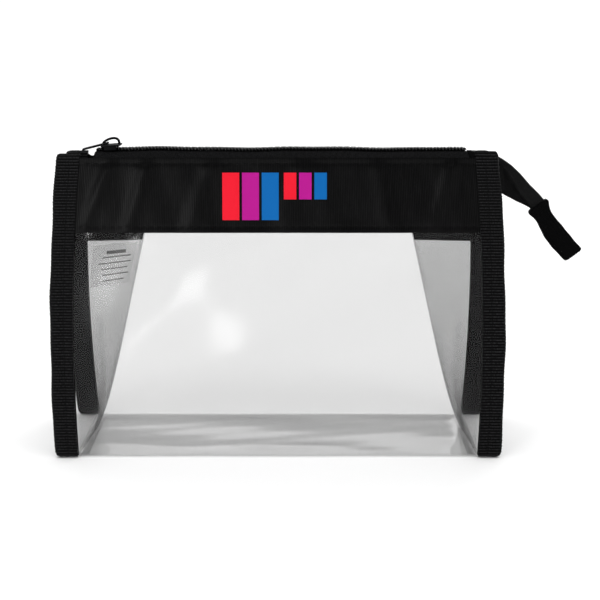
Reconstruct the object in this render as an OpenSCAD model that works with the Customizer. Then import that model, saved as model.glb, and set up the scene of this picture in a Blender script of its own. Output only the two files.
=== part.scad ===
// Zipped wedge-shaped toiletry bag: clear walls, black top bands, bound side
// seams, folded side gussets, a coil zipper along the top and its hanging tail.
// Millimetres. +X right, front faces -Y, +Z up, origin under the base's centre.

/* [Walls] */
// Clear width of a wall at the base, between its two side bindings
wall_w_base = 207; // [195:1:215]
// Clear width of a wall at mid height
wall_w_mid = 209.8; // [200:0.2:216]
// Clear width of a wall at the top
wall_w_top = 200.6; // [198:0.2:208]
// Depth of the base, front to back
base_d = 70; // [64:1:76]
// Depth between the two walls at the top
mouth_d = 26.6; // [25:0.2:30]
// Height of the walls' top fold above the base
wall_h = 152.8; // [150:0.2:156]
// Thickness of the clear sheet
sheet_t = 0.5; // [0.4:0.05:0.6]
// Thickness of the band fabric
fabric_t = 0.65; // [0.5:0.05:0.7]
// Height of the fabric bands, measured along the wall
band_h = 38; // [34:0.5:42]
// How far the clear sheet runs up behind a band
band_lap = 6; // [4:0.5:8]

/* [Gussets] */
// How far in from the binding a gusset's crease lies at the top
crease_top = 40; // [34:1:42]
// Shape of the crease line: 1 is straight, less bulges inwards low down
crease_power = 0.61; // [0.55:0.01:0.9]
// Half the gap left between a gusset's front and back leaves at the crease
crease_gap = 0.55; // [0.4:0.05:0.8]

/* [Bindings] */
// Visible width of the folded binding tape
binding_w = 11.8; // [11:0.2:13]
// Thickness of the binding tape
binding_t = 0.65; // [0.5:0.05:0.7]
// How far the wall and gusset edges reach into the binding
fin_reach = 9.6; // [8:0.2:9.8]

/* [Zipper] */
// Half the length of the zipper tape between the side bindings
tape_half_l = 97; // [94:0.5:97.5]
// Height of the flat middle of the zipper tapes
tape_z = 154.6; // [154.4:0.1:155]
// Thickness of the zipper tape
tape_t = 0.5; // [0.4:0.05:0.55]
// Width of one half of the coil
coil_w = 2.4; // [2:0.1:2.5]
// Thickness of the coil
coil_t = 1.8; // [1.6:0.1:1.9]
// Slider's centre when the bag is closed
slider_x = -86; // [-87:0.5:-80]
// Length of the slider
slider_l = 11; // [10.5:0.1:11.5]
// Width of the slider
slider_w = 9.6; // [9.4:0.1:10]
// Length of the puller beyond its hinge bar
puller_l = 13.5; // [12:0.5:20]
// Width of the puller
puller_w = 5.6; // [5.2:0.1:6.5]
// Angle at which the puller lies below level
puller_droop = 5; // [2:0.5:5]

/* [Tail] */
// Where the tail swings from, beside the right bindings
tail_x = 115.6; // [115.4:0.1:116.5]
// Length of the pull tab on the tail's end
tab_l = 32; // [26:1:36]
// Width of the pull tab
tab_w = 11; // [9:0.2:12]
// Angle of the pull tab below level
tab_angle = 52.6; // [45:0.2:60]

/* [Stitching and print] */
// Distance from one stitch to the next
stitch_pitch = 4; // [3.5:0.5:6]
// Length of one stitch
stitch_l = 2.6; // [2:0.1:3]
// Width of the printed patch on the front band
print_w = 53; // [40:1:60]
// Height of the printed patch
print_h = 24; // [16:1:26]

/* [Hidden] */

$fn = 32;
black = [0.07, 0.07, 0.075];
clear = [0.86, 0.88, 0.9, 0.35];
thread = [0.14, 0.14, 0.15];
metal = [0.25, 0.25, 0.27];

lean = atan((base_d - mouth_d) / 2 / wall_h);
wall_len = wall_h / cos(lean);
band_low = wall_len - band_h;
foot_gap = 0.8;
binding_foot = 0.6;
wall_steps = 8;

// Layers across a wall, measured outwards from the clear sheet's middle
layer_gap = 0.05;
band_in = sheet_t / 2 + layer_gap;
band_out = band_in + fabric_t;
leaf_mid = -sheet_t - layer_gap;
leaf_band_near = sheet_t / 2 + 0.1;
leaf_band_far = leaf_band_near + fabric_t;
cavity_out = band_out + layer_gap;
cavity_in = leaf_mid - leaf_band_far - layer_gap;
binding_out = cavity_out + binding_t;
binding_in = cavity_in - binding_t;

// Half the clear width of a wall at a height v along it
function half_w(v) =
    let (t = v / wall_len)
    wall_w_base / 2 * (1 - t) * (1 - 2 * t)
        + wall_w_mid / 2 * 4 * t * (1 - t)
        + wall_w_top / 2 * t * (2 * t - 1);

function levels(low, high, steps) = [for (i = [0:steps]) low + (high - low) * i / steps];

// A point of the front wall: x, height v along the wall, distance w outwards
function front_pt(x, v, w) = [
    x,
    -base_d / 2 + v * sin(lean) - w * cos(lean),
    v * cos(lean) + w * sin(lean)
];

function crease_in(v) = crease_top * pow(v / wall_len, crease_power);

// Faces of a thick sheet whose points are two grids, each of rows by cols points
function sheet_faces(rows, cols) =
    let (n = rows * cols)
    concat(
        [for (i = [0:rows - 2]) for (j = [0:cols - 2]) let (a = i * cols + j)
            each [[a, a + 1, a + cols + 1], [a, a + cols + 1, a + cols]]],
        [for (i = [0:rows - 2]) for (j = [0:cols - 2]) let (a = n + i * cols + j)
            each [[a, a + cols + 1, a + 1], [a, a + cols, a + cols + 1]]],
        [for (j = [0:cols - 2])
            each [[j + 1, j, n + j], [j + 1, n + j, n + j + 1]]],
        [for (j = [0:cols - 2]) let (a = n - cols + j)
            each [[a, a + 1, n + a + 1], [a, n + a + 1, n + a]]],
        [for (i = [0:rows - 2]) let (a = i * cols)
            each [[a, a + cols, n + a + cols], [a, n + a + cols, n + a]]],
        [for (i = [0:rows - 2]) let (a = (i + 1) * cols - 1)
            each [[a + cols, a, n + a], [a + cols, n + a, n + a + cols]]]
    );

module on_front() {
    translate([0, -base_d / 2, 0]) rotate([90 - lean, 0, 0]) children();
}

module on_back() {
    mirror([0, 1, 0]) on_front() children();
}

module on_left() {
    mirror([1, 0, 0]) children();
}

// A sheet across a wall from height v0 to v1, with layers w0 to w1
module wall_sheet(v0, v1, reach, w0, w1) {
    vs = levels(v0, v1, wall_steps);
    right = [for (v = vs) [half_w(v) + reach, v]];
    left = [for (i = [wall_steps:-1:0]) [-half_w(vs[i]) - reach, vs[i]]];
    translate([0, 0, w0]) linear_extrude(w1 - w0) polygon(concat(right, left));
}

// A strip that follows a wall's right edge, r0 to r1 outside it
module edge_strip(v0, v1, r0, r1, w0, w1) {
    vs = levels(v0, v1, wall_steps);
    outer = [for (v = vs) [half_w(v) + r1, v]];
    inner = [for (i = [wall_steps:-1:0]) [half_w(vs[i]) + r0, vs[i]]];
    translate([0, 0, w0]) linear_extrude(w1 - w0) polygon(concat(outer, inner));
}

// The binding tape folded over a wall's right edge
module binding() {
    difference() {
        edge_strip(binding_foot, wall_len + 0.2, 0, binding_w, binding_in, binding_out);
        edge_strip(0, wall_len + 1, -1, binding_w - binding_t, cavity_in, cavity_out);
    }
}

// A gusset leaf at height v, in the right front quarter: where it leaves its fin,
// where its crease is, and the direction and length of the run between them
bend_in = 0.3;
function leaf_bend(v) = front_pt(half_w(v) - bend_in, v, leaf_mid);
function leaf_span(v) =
    let (bend = leaf_bend(v))
    [half_w(v) - crease_in(v) - bend.x, -crease_gap - bend.y, 0];

// A point of the leaf, share f of the way from bend to crease, offset towards the wall
function leaf_pt(v, f, off) =
    let (span = leaf_span(v))
    leaf_bend(v) + span * f + [-span.y, span.x, 0] / norm(span) * off;

// Where the leaf's fin, offset towards the wall, turns into its run
function leaf_corner(v, off) =
    let (span = leaf_span(v))
    front_pt(half_w(v) - bend_in - off * tan(acos(-span.x / norm(span)) / 2), v, leaf_mid + off);

leaf_cols = 3;
function leaf_row(v, off, inset) =
    let (end = 1 - inset / norm(leaf_span(v)))
    concat(
        [front_pt(half_w(v) + fin_reach, v, leaf_mid + off), leaf_corner(v, off)],
        [for (j = [1:leaf_cols]) leaf_pt(v, end * j / leaf_cols, off)]
    );

// A leaf through the heights vs, between two offsets, ending short of its crease
module gusset_leaf(vs, off_in, off_out, inset) {
    points = concat(
        [for (v = vs) each leaf_row(v, off_out, inset)],
        [for (v = vs) each leaf_row(v, off_in, inset)]
    );
    polyhedron(points = points, faces = sheet_faces(len(vs), leaf_cols + 2));
}

// How far a gusset's band reaches below the walls' bands
leaf_band_drop = 3.6;
lap_levels = levels(band_low - leaf_band_drop, band_low + band_lap, 1);

module clear_leaf() {
    low = levels(2 * foot_gap, band_low - 2 * band_lap, 18);
    color(clear) gusset_leaf(concat(low, lap_levels), -sheet_t / 2, sheet_t / 2, 0);
}

module band_leaf() {
    crease_inset = 1.5;
    high = levels(band_low + band_lap + 5.6, wall_len - 4, 4);
    color(black)
        gusset_leaf(concat(lap_levels, high), -leaf_band_far, -leaf_band_near, crease_inset);
}

// Width, thickness and clearance of a stitch's thread
thread_w = 0.4;
thread_t = 0.25;
thread_gap = 0.02;

// Stitches in a row along a wall, at height v
module stitch_row(v, w) {
    count = floor((2 * half_w(v) - 2 * stitch_l) / stitch_pitch);
    for (i = [0:count]) {
        translate([(i - count / 2) * stitch_pitch - stitch_l / 2, v, w])
            cube([stitch_l, thread_w, thread_t]);
    }
}

// Stitches in a column along the right binding, on one layer
module stitch_column(w) {
    end_gap = 5;
    count = floor((wall_len - 2 * end_gap) / stitch_pitch);
    for (i = [0:count]) {
        v = end_gap + i * stitch_pitch;
        translate([half_w(v) + 0.4 * binding_w, v, w]) cube([thread_w, stitch_l, thread_t]);
    }
}

module band_stitch_rows() {
    hem = 3;
    stitch_row(wall_len - hem, band_out + thread_gap);
    stitch_row(band_low + hem, band_out + thread_gap);
}

module binding_stitch_columns() {
    stitch_column(binding_out + thread_gap);
    on_left() stitch_column(binding_out + thread_gap);
}

// A profile in Y and Z carried along X
module along_x(x0, x1) {
    translate([x0, 0, 0]) rotate([90, 0, 90]) linear_extrude(x1 - x0) children();
}

// An outline in X and Z with a thickness from y0 to y1
module upright_plate(y0, y1) {
    translate([0, y1, 0]) rotate([90, 0, 0]) linear_extrude(y1 - y0) children();
}

// The front half of the zipper tape, sewn inside the band and rising to the coil
module half_tape() {
    low = front_pt(0, wall_len - 7, -band_in);
    high = front_pt(0, wall_len - 0.8, -band_in);
    flat_y = -6;
    edge_y = -0.9;
    along_x(-tape_half_l, tape_half_l) polygon([
        [low.y, low.z],
        [high.y, high.z],
        [flat_y, tape_z + tape_t / 2],
        [edge_y, tape_z + tape_t / 2],
        [edge_y, tape_z - tape_t / 2],
        [flat_y + 0.1, tape_z - tape_t / 2],
        [high.y + tape_t, high.z - tape_t],
        [low.y + tape_t, low.z]
    ]);
}

coil_near = 0.7;
coil_low = tape_z + tape_t / 2 + 0.05;
coil_top = coil_low + coil_t;
coil_start = slider_x - slider_l / 2 - 0.2;

// The front half of the coil
module half_coil() {
    chamfer = 0.5;
    far = coil_near + coil_w;
    along_x(coil_start, tape_half_l) polygon([
        [-coil_near, coil_low],
        [-coil_near, coil_top - chamfer],
        [-coil_near - chamfer, coil_top],
        [-far + chamfer, coil_top],
        [-far, coil_top - chamfer],
        [-far, coil_low]
    ]);
}

// The stop clamped on the front coil's left end
module half_stop() {
    stop_l = 1.7;
    translate([coil_start - 0.05 - stop_l, -coil_near - coil_w - 0.2, coil_low])
        cube([stop_l, coil_w + 0.2, coil_t + 0.1]);
}

module rounded_rect(l, w, r) {
    square([l - 2 * r, w], center = true);
    square([l, w - 2 * r], center = true);
    for (sx = [-1, 1]) for (sy = [-1, 1]) {
        translate([sx * (l / 2 - r), sy * (w / 2 - r)]) circle(r);
    }
}

plate_low = coil_top + 0.3;
plate_t = 0.8;
plate_top = plate_low + plate_t;
under_top = tape_z - tape_t / 2 - 0.45;
arch_half = 4;
arch_rise = 3.2;
arch_t = 0.8;
arch_w = 1.8;
bar_r = 0.65;
bar_x = slider_x - arch_half / 2;
bar_z = plate_top + bar_r + 0.25;

module slider_body() {
    flange_w = 1.2;
    post_l = 3;
    post_w = 0.7;
    color(metal) translate([slider_x, 0, 0]) {
        translate([0, 0, plate_low]) linear_extrude(plate_t) rounded_rect(slider_l, slider_w, 2.4);
        for (side = [-1, 1]) {
            translate([-slider_l / 2 + 2.4, side * (slider_w / 2 - flange_w / 2) - flange_w / 2,
                tape_z + tape_t / 2 + 0.35])
                cube([slider_l - 4.8, flange_w, plate_low - tape_z - tape_t / 2 - 0.35 + 0.1]);
        }
        translate([0, 0, under_top - plate_t])
            linear_extrude(plate_t) rounded_rect(slider_l - 1, 8.4, 2.2);
        translate([-slider_l / 2 + 0.5, -post_w / 2, under_top - 0.1])
            cube([post_l, post_w, plate_low - under_top + 0.2]);
    }
}

module slider_bridge() {
    steps = 16;
    outer = [for (i = [0:steps]) let (a = 180 * i / steps) [arch_half * cos(a), arch_rise * sin(a)]];
    inner = [for (i = [steps:-1:0]) let (a = 180 * i / steps)
        [(arch_half - arch_t) * cos(a), (arch_rise - arch_t) * sin(a)]];
    color(metal) translate([slider_x, 0, plate_top]) upright_plate(-arch_w / 2, arch_w / 2)
        polygon(concat(outer, inner));
}

module puller() {
    plate = 0.9;
    slot_w = 2.8;
    slot_end = 1.5 * arch_half + 0.6;
    color(metal) translate([bar_x, 0, bar_z]) rotate([0, -puller_droop, 0]) {
        rotate([90, 0, 0]) cylinder(r = bar_r, h = puller_w, center = true);
        translate([0, 0, -plate / 2]) linear_extrude(plate) difference() {
            union() {
                translate([-puller_l / 2 - 1, 0]) rounded_rect(puller_l - 2, puller_w, 1.6);
                translate([-3, -puller_w / 2]) square([3, puller_w]);
            }
            translate([-slot_end, -slot_w / 2]) square([slot_end - 0.4, slot_w]);
        }
    }
}

// The tail's pieces stop this far short of each hinge line
tail_gap = 1;
tail_half_t = 1.3;
tail_core = 0.6;
tab_gap = 0.8;
tab_dir = [cos(tab_angle), -sin(tab_angle)];
tab_side = [sin(tab_angle), cos(tab_angle)];
tab_root = [136, 125.3];
tail_near = tail_x + tail_gap;

// The closed zipper end, folded down behind the right bindings
module zip_end_fold() {
    start_x = tape_half_l + 0.6;
    end_x = tail_x - tail_gap;
    color(black) upright_plate(-tail_half_t, tail_half_t)
        polygon([[start_x, tape_z - 0.6], [end_x, 151], [end_x, 133.8], [start_x, 145]]);
}

// The outline of the tail's two tapes, drawn as a plate from y0 to y1
module tail_plate(y0, y1) {
    end = tab_root - tab_gap * tab_dir;
    half_end = tab_w / 2 - 0.2;
    color(black) upright_plate(y0, y1) polygon([
        [tail_near, 150.2],
        [125, 143.4],
        [130.4, 136.6],
        end + half_end * tab_side,
        end - half_end * tab_side,
        [124, 128.6],
        [tail_near, 133.2]
    ]);
}

module tail_coil() {
    start_x = tail_near + 0.1;
    color(black) upright_plate(-tail_core, tail_core) polygon([
        [start_x, 149.6],
        [124.6, 143],
        [128.6, 138.4],
        [127.2, 137],
        [123.2, 141.2],
        [start_x, 146.8]
    ]);
}

// Places a flat outline, drawn along X from the tail's end, on the pull tab
module on_tab(y0, y1) {
    upright_plate(y0, y1) translate(tab_root) rotate(-tab_angle) children();
}

module tail_tab() {
    corner = 1.6;
    color(black) on_tab(-tail_half_t, tail_half_t)
        translate([tab_gap + tab_l / 2, 0]) rounded_rect(tab_l, tab_w, corner);
}

// The stitches on one face of the pull tab: a row along each edge and one across
module tab_stitch_lines() {
    inset = 1.6;
    start = 4;
    length = 2.2;
    pitch = 3.4;
    along = floor((tab_l - start) / pitch) - 1;
    for (i = [0:along]) for (side = [-1, 1]) {
        translate([start + pitch * i, side * (tab_w / 2 - inset) - thread_w / 2])
            square([length, thread_w]);
    }
    for (i = [-1:1]) {
        translate([start - 1, length * i - length / 3]) square([thread_w, length * 2 / 3]);
    }
}

module tail_tab_stitches() {
    low = tail_half_t + thread_gap;
    color(thread) on_tab(low, low + thread_t) tab_stitch_lines();
    color(thread) on_tab(-low - thread_t, -low) tab_stitch_lines();
}

module window_sheet() {
    wall_sheet(foot_gap, band_low + band_lap, fin_reach, -sheet_t / 2, sheet_t / 2);
}

module band_sheet() {
    wall_sheet(band_low, wall_len, fin_reach, band_in, band_out);
}

module base_panel() {
    front_clear = 0.8;
    color(clear) translate([-wall_w_base / 2 + 0.5, -base_d / 2 + front_clear, 0])
        cube([wall_w_base - 1, base_d - front_clear, sheet_t]);
}

// The welded strip where the base meets the right gusset
module base_seam() {
    seam_w = 5;
    color(clear) translate([wall_w_base / 2 - 1 - seam_w, -base_d / 2 + 2, sheet_t])
        cube([seam_w, base_d - 4, 0.4]);
}

// The blank label on the left gusset, inside the bag
module care_label() {
    label_t = 0.2;
    near = sheet_t / 2 + 0.25;
    shares = [0.26, 0.46, 0.66];
    vs = levels(band_low - 27, band_low - 4, 7);
    points = concat(
        [for (v = vs) for (f = shares) leaf_pt(v, f, near + label_t)],
        [for (v = vs) for (f = shares) leaf_pt(v, f, near)]
    );
    color([0.93, 0.93, 0.92]) on_left()
        polyhedron(points = points, faces = sheet_faces(len(vs), len(shares)));
}

block_w = 8.6;
block_gap = 1.4;
rows_gap = 2.6;
short_h = 13.5;

// One colour of the print, counted from the left: a tall block in the first row of three,
// and a short block in the second row, which hangs from the same top line
module print_colour(i) {
    short_x = 3 * block_w + 2 * block_gap + rows_gap;
    short_w = (print_w - short_x - 2 * block_gap) / 3;
    x0 = -print_w / 2 - 1.5;
    v0 = band_low + (band_h - print_h) / 2 - 0.5;
    on_front() translate([x0, v0, band_out + 0.02]) linear_extrude(0.12) {
        translate([i * (block_w + block_gap), 0]) square([block_w, print_h]);
        translate([short_x + i * (short_w + block_gap), print_h - short_h])
            square([short_w, short_h]);
    }
}

base_panel();
color(clear) on_back() window_sheet();  // back_window
color(black) on_back() band_sheet();  // back_band
color(black) on_back() on_left() binding();  // back_left_binding
color(black) on_back() binding();  // back_right_binding
mirror([0, 1, 0]) on_left() clear_leaf();  // left_gusset_back_leaf
mirror([0, 1, 0]) clear_leaf();  // right_gusset_back_leaf
mirror([0, 1, 0]) on_left() band_leaf();  // left_gusset_back_band
mirror([0, 1, 0]) band_leaf();  // right_gusset_back_band
color(black) mirror([0, 1, 0]) half_tape();  // back_zip_tape
color(black) mirror([0, 1, 0]) half_coil();  // back_coil
color(metal) mirror([0, 1, 0]) half_stop();  // back_top_stop
on_left() base_seam();  // left_base_seam
base_seam();  // right_base_seam
zip_end_fold();
color(thread) on_back() band_stitch_rows();  // back_band_stitches
color(thread) on_back() binding_stitch_columns();  // back_binding_stitches
color(clear) on_front() window_sheet();  // front_window
color(black) on_front() band_sheet();  // front_band
color(black) on_front() on_left() binding();  // front_left_binding
color(black) on_front() binding();  // front_right_binding
on_left() clear_leaf();  // left_gusset_front_leaf
clear_leaf();  // right_gusset_front_leaf
on_left() band_leaf();  // left_gusset_front_band
band_leaf();  // right_gusset_front_band
color(black) half_tape();  // front_zip_tape
color(black) half_coil();  // front_coil
color(metal) half_stop();  // front_top_stop
care_label();
color(thread) on_front() band_stitch_rows();  // front_band_stitches
color(thread) on_front() binding_stitch_columns();  // front_binding_stitches
color([0.86, 0.13, 0.2]) print_colour(0);  // print_red
color([0.66, 0.14, 0.5]) print_colour(1);  // print_magenta
color([0.16, 0.42, 0.75]) print_colour(2);  // print_blue
slider_body();
slider_bridge();
puller();
tail_plate(-tail_half_t, -tail_core);  // tail_front_tape
tail_plate(tail_core, tail_half_t);  // tail_back_tape
tail_coil();
tail_tab();
tail_tab_stitches();
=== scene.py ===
"""The looks of the clear zipped toiletry bag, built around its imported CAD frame.

Lengths are metres. +X is right, the front faces -Y, +Z is up.
"""

import math

import bpy
import numpy as np
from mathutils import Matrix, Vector


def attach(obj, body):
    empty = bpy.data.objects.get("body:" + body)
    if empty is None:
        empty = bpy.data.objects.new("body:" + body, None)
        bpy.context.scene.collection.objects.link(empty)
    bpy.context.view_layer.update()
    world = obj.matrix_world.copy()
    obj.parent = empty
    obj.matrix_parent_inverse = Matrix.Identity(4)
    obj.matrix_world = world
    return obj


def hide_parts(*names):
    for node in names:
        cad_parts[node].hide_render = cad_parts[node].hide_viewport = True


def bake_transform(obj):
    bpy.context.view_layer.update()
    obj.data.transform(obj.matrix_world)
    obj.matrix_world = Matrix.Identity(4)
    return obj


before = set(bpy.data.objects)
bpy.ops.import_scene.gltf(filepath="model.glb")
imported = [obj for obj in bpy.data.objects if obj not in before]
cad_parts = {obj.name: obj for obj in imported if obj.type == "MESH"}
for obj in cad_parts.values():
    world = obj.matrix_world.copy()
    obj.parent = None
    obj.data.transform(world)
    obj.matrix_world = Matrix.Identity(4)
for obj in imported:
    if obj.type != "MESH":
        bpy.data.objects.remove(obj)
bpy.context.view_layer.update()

# Walls: a wedge, wide at the base and narrow at the zipper
BASE_DEPTH = 0.070
MOUTH_DEPTH = 0.0266
WALL_HEIGHT = 0.1528
CLEAR_BASE, CLEAR_MID, CLEAR_TOP = 0.207, 0.2098, 0.2006
BAND_HEIGHT = 0.038
BAND_LAP = 0.006
BAND_SEAM_IN = 0.003  # its two rows of stitches, in from its edges
SHEET = 0.0005
FABRIC = 0.00065
LEAN = math.atan((BASE_DEPTH - MOUTH_DEPTH) / 2 / WALL_HEIGHT)
WALL = WALL_HEIGHT / math.cos(LEAN)
BAND_LOW = WALL - BAND_HEIGHT
FIN = 0.0096
BASE_LEVEL = 0.0004
FOLD_RADIUS = 0.0015
FOLD_TURN = math.pi / 2 + LEAN
FOLD_ARC = FOLD_RADIUS * FOLD_TURN
FOLD_IN = FOLD_RADIUS * math.tan(FOLD_TURN / 2)
SHEET_TOP = FOLD_ARC + BAND_LOW + BAND_LAP - FOLD_IN
UV_SCALE = 10  # units of a sheet's own coordinates to a metre
FRONT, BACK = -1, 1
LEFT, RIGHT = -1, 1
SIDE_NAME = {FRONT: "front", BACK: "back"}
END_NAME = {LEFT: "left", RIGHT: "right"}

# Layers across a wall, outwards from the clear sheet's middle
BAND_OFF = 0.000625
BAND_FACE = BAND_OFF + FABRIC / 2
BINDING_FACE = 0.00145
BINDING_BACK = -0.00215
GUSSET_OFF = -0.00055

# Gussets: how far in the crease runs, and the share of each leaf that is not its fin
CREASE_TOP = 0.040
CREASE_POWER = 0.61
LEAF_SHARE = 0.78

# Bindings
BINDING = 0.0118
RIB_PITCH = 0.0015
RIB_STEPS = 5
SEAM_SHARE = 0.4  # where the stitches run across a binding

# Zipper
TAPE_LEFT, TAPE_RIGHT = -0.0936, 0.097
TAPE_LEVEL = 0.1546
TAPE = 0.0005
TAPE_TOP = TAPE_LEVEL + TAPE / 2
COIL_PITCH = 0.00172
COIL_WIRE = 0.00042  # its radius
COIL_START, COIL_END = -0.0915, 0.097
COIL_MIDDLE = 0.0019  # how far the middle of a coil half is from the centre line
SLIDER_X = -0.086
SLIDER_LENGTH, SLIDER_WIDTH = 0.011, 0.0096
BAR_X, BAR_Z = -0.088, 0.1587
PULLER_DROOP = math.radians(14)
METAL_EDGE = 0.00022

# Tail
TAB_ROOT = (0.1360, 0.1253)
TAB_ANGLE = math.radians(52.6)
TAB_LENGTH, TAB_WIDTH = 0.032, 0.0110
TAB_COLLAR = 0.0016
TAB_SEAM_IN, TAB_SEAM_ROW = 0.0016, 0.003

STITCH_PITCH, STITCH_LENGTH = 0.004, 0.0026


# ---------------- shapes


def smooth(t):
    """Eases from 0 to 1 as t goes from 0 to 1."""
    t = np.clip(t, 0, 1)
    return t * t * (3 - 2 * t)


def hill(x, width):
    """A smooth hill: 1 where x is 0, about a third at that width either side."""
    return np.exp(-((x / width) ** 2))


def unit(vectors):
    """Vectors along the last axis, made one long."""
    return vectors / np.linalg.norm(vectors, axis=-1)[..., None]


def half_width(v):
    """Half the clear width of a wall at height v along it."""
    t = np.asarray(v, float) / WALL
    return (
        CLEAR_BASE / 2 * (1 - t) * (1 - 2 * t)
        + CLEAR_MID / 2 * 4 * t * (1 - t)
        + CLEAR_TOP / 2 * t * (2 * t - 1)
    )


def wave(x, v, length, angle, phase):
    """A straight ripple of that length, its crests turned by angle from upright."""
    along = x * math.cos(angle) + v * math.sin(angle)
    return np.sin(2 * math.pi * along / length + phase)


def ridge(x, v, place, width, slant):
    """A soft upright fold in the band, through x = place at the band's middle."""
    middle = BAND_LOW + BAND_HEIGHT / 2
    return hill(x - place - slant * (v - middle), width)


BAND_RIDGES = (
    (-0.092, 0.0040, 0.50, 0.00120),
    (-0.071, 0.0040, 0.30, 0.00110),
    (-0.039, 0.0050, 0.35, 0.00090),
    (0.008, 0.0060, 0.25, 0.00070),
    (0.054, 0.0055, -0.20, 0.00100),
    (0.084, 0.0045, 0.30, 0.00110),
)


def swell(x, v, side):
    """How far a wall stands off its plane: soft waves, still at the edges."""
    x, v = np.asarray(x, float), np.asarray(v, float)
    across = smooth((half_width(v) - np.abs(x)) / 0.012)
    across_clear = smooth((half_width(v) - np.abs(x)) / 0.036)
    up = smooth(v / 0.010) * smooth((WALL - v) / 0.006)
    clear = (
        0.00035 * wave(x, v, 0.083, 0.5, 0.6)
        + 0.00022 * wave(x, v, 0.047, -0.8, 1.9)
        + 0.0011 * np.cos(np.clip(x / half_width(v), -1, 1) * math.pi / 2)
        * np.sin(np.clip(v / WALL, 0, 1) * math.pi)
    )
    in_band = smooth((v - BAND_LOW + 0.008) / 0.016)
    folds = sum(d * ridge(x, v, p, w, s) for p, w, s, d in BAND_RIDGES)
    folds = folds + 0.00012 * wave(x, v, 0.021, 0.35, 0.3)
    if side == BACK:
        folds = -0.8 * folds
    still = clear * (1 - 0.7 * in_band) * across_clear
    return up * (still + folds * in_band * across)


def lift(x):
    """The gentle rise and fall of the zipper along the bag."""
    x = np.asarray(x, float)
    fade = smooth((0.096 - np.abs(x)) / 0.02)
    return fade * (0.00022 * np.sin(x / 0.0125) + 0.00012 * np.sin(x / 0.0052 + 1))


def leaning(v, off):
    """How far out and how high a place is, v up a wall and off outwards from it."""
    out = BASE_DEPTH / 2 - v * math.sin(LEAN) + off * math.cos(LEAN)
    return out, v * math.cos(LEAN) + off * math.sin(LEAN)


def wall_point(x, v, off, side):
    """A place on a wall: x, height v along it, and off outwards from its plane."""
    x, v, off = np.broadcast_arrays(*(np.asarray(a, float) for a in (x, v, off)))
    y, z = leaning(v, off + swell(x, v, side))
    return np.stack([x, side * y, z], -1)


def wall_out(side):
    """The way out from a wall."""
    return np.array([0.0, side * math.cos(LEAN), math.sin(LEAN)])


def wall_up(side):
    """The way up along a wall."""
    return np.array([0.0, -side * math.sin(LEAN), math.cos(LEAN)])


def crease_in(v):
    """How far inwards a gusset's crease runs at height v."""
    return CREASE_TOP * (np.maximum(v, 0) / WALL) ** CREASE_POWER


def corner_cut(near, corner):
    """How far a round corner draws an edge in, near being the way to the end."""
    short = np.maximum(corner - near, 0)
    return corner - np.sqrt(np.maximum(corner**2 - short**2, 0))


# ---------------- meshes


def add_mesh(name, points, faces, material, uvs=None, sharp=50):
    """A smooth object with that material; edges over the sharp angle stay crisp."""
    mesh = bpy.data.meshes.new(name)
    mesh.from_pydata([tuple(p) for p in points], [], [tuple(f) for f in faces])
    mesh.update()
    if uvs is not None:
        layer = mesh.uv_layers.new(name="cloth")
        picked = np.asarray(uvs, np.float32)[
            np.array([loop.vertex_index for loop in mesh.loops])
        ]
        layer.data.foreach_set("uv", picked.ravel())
    mesh.shade_smooth()
    mesh.set_sharp_from_angle(angle=math.radians(sharp))
    mesh.materials.append(material)
    obj = bpy.data.objects.new(name, mesh)
    bpy.context.scene.collection.objects.link(obj)
    return obj


def quad_grid(rows, cols, first=0, flip=False, closed=False):
    """The four-sided faces of a grid of rows by cols points."""
    faces = []
    for i in range(rows - 1):
        for j in range(cols if closed else cols - 1):
            k = (j + 1) % cols
            a, b = first + i * cols + j, first + i * cols + k
            quad = (a, b, b + cols, a + cols)
            faces.append(quad[::-1] if flip else quad)
    return faces


def pipe_faces(rings, sides):
    """The faces of a closed pipe made of rings of points, with its two ends."""
    faces = quad_grid(rings, sides, closed=True)
    faces.append(tuple(range(sides - 1, -1, -1)))
    faces.append(tuple(range((rings - 1) * sides, rings * sides)))
    return faces


def rim(rows, cols):
    """The faces round the edge of a two-sided grid."""
    n = rows * cols
    bottom = [(j + 1, j, n + j, n + j + 1) for j in range(cols - 1)]
    top = [(a, a + 1, n + a + 1, n + a) for a in range(n - cols, n - 1)]
    left = [(a, a + cols, n + a + cols, n + a) for a in range(0, n - cols, cols)]
    right = [
        (a + cols, a, n + a, n + a + cols) for a in range(cols - 1, n - cols, cols)
    ]
    return bottom + top + left + right


def closed_faces(rows, cols, flip):
    """The faces of a two-sided grid: over, under and round its edge."""
    under = quad_grid(rows, cols, rows * cols, flip=True)
    faces = quad_grid(rows, cols) + under + rim(rows, cols)
    return [f[::-1] for f in faces] if flip else faces


def sheet(name, us, vs, place, thick, material, flip=False, sharp=50):
    """A closed sheet. place(u, v, off) gives points, off running through it."""
    u, v = np.meshgrid(us, vs)
    over = place(u, v, thick / 2).reshape(-1, 3)
    under = place(u, v, -thick / 2).reshape(-1, 3)
    points, faces = np.concatenate([over, under]), closed_faces(*u.shape, flip)
    flat = np.stack([u.ravel(), v.ravel()], -1) * UV_SCALE
    return add_mesh(name, points, faces, material, np.tile(flat, (2, 1)), sharp)


def tube(name, path, radius, material, sides=6, flat=1.0):
    """A round cord along a path of points, flat its height over its width."""
    path = np.asarray(path, float)
    run = unit(np.gradient(path, axis=0))
    up = np.array([0.0, 0.0, 1.0])
    across = np.cross(run, up)
    weak = np.linalg.norm(across, axis=1) < 0.2
    across[weak] = np.cross(run[weak], np.array([1.0, 0.0, 0.0]))
    across = unit(across)
    other = np.cross(across, run)
    turn = np.arange(sides) * 2 * math.pi / sides
    ring = (
        across[:, None, :] * np.cos(turn)[None, :, None]
        + other[:, None, :] * np.sin(turn)[None, :, None] * flat
    )
    points = (path[:, None, :] + ring * radius).reshape(-1, 3)
    rows = len(path)
    return add_mesh(name, points, pipe_faces(rows, sides), material)


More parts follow.
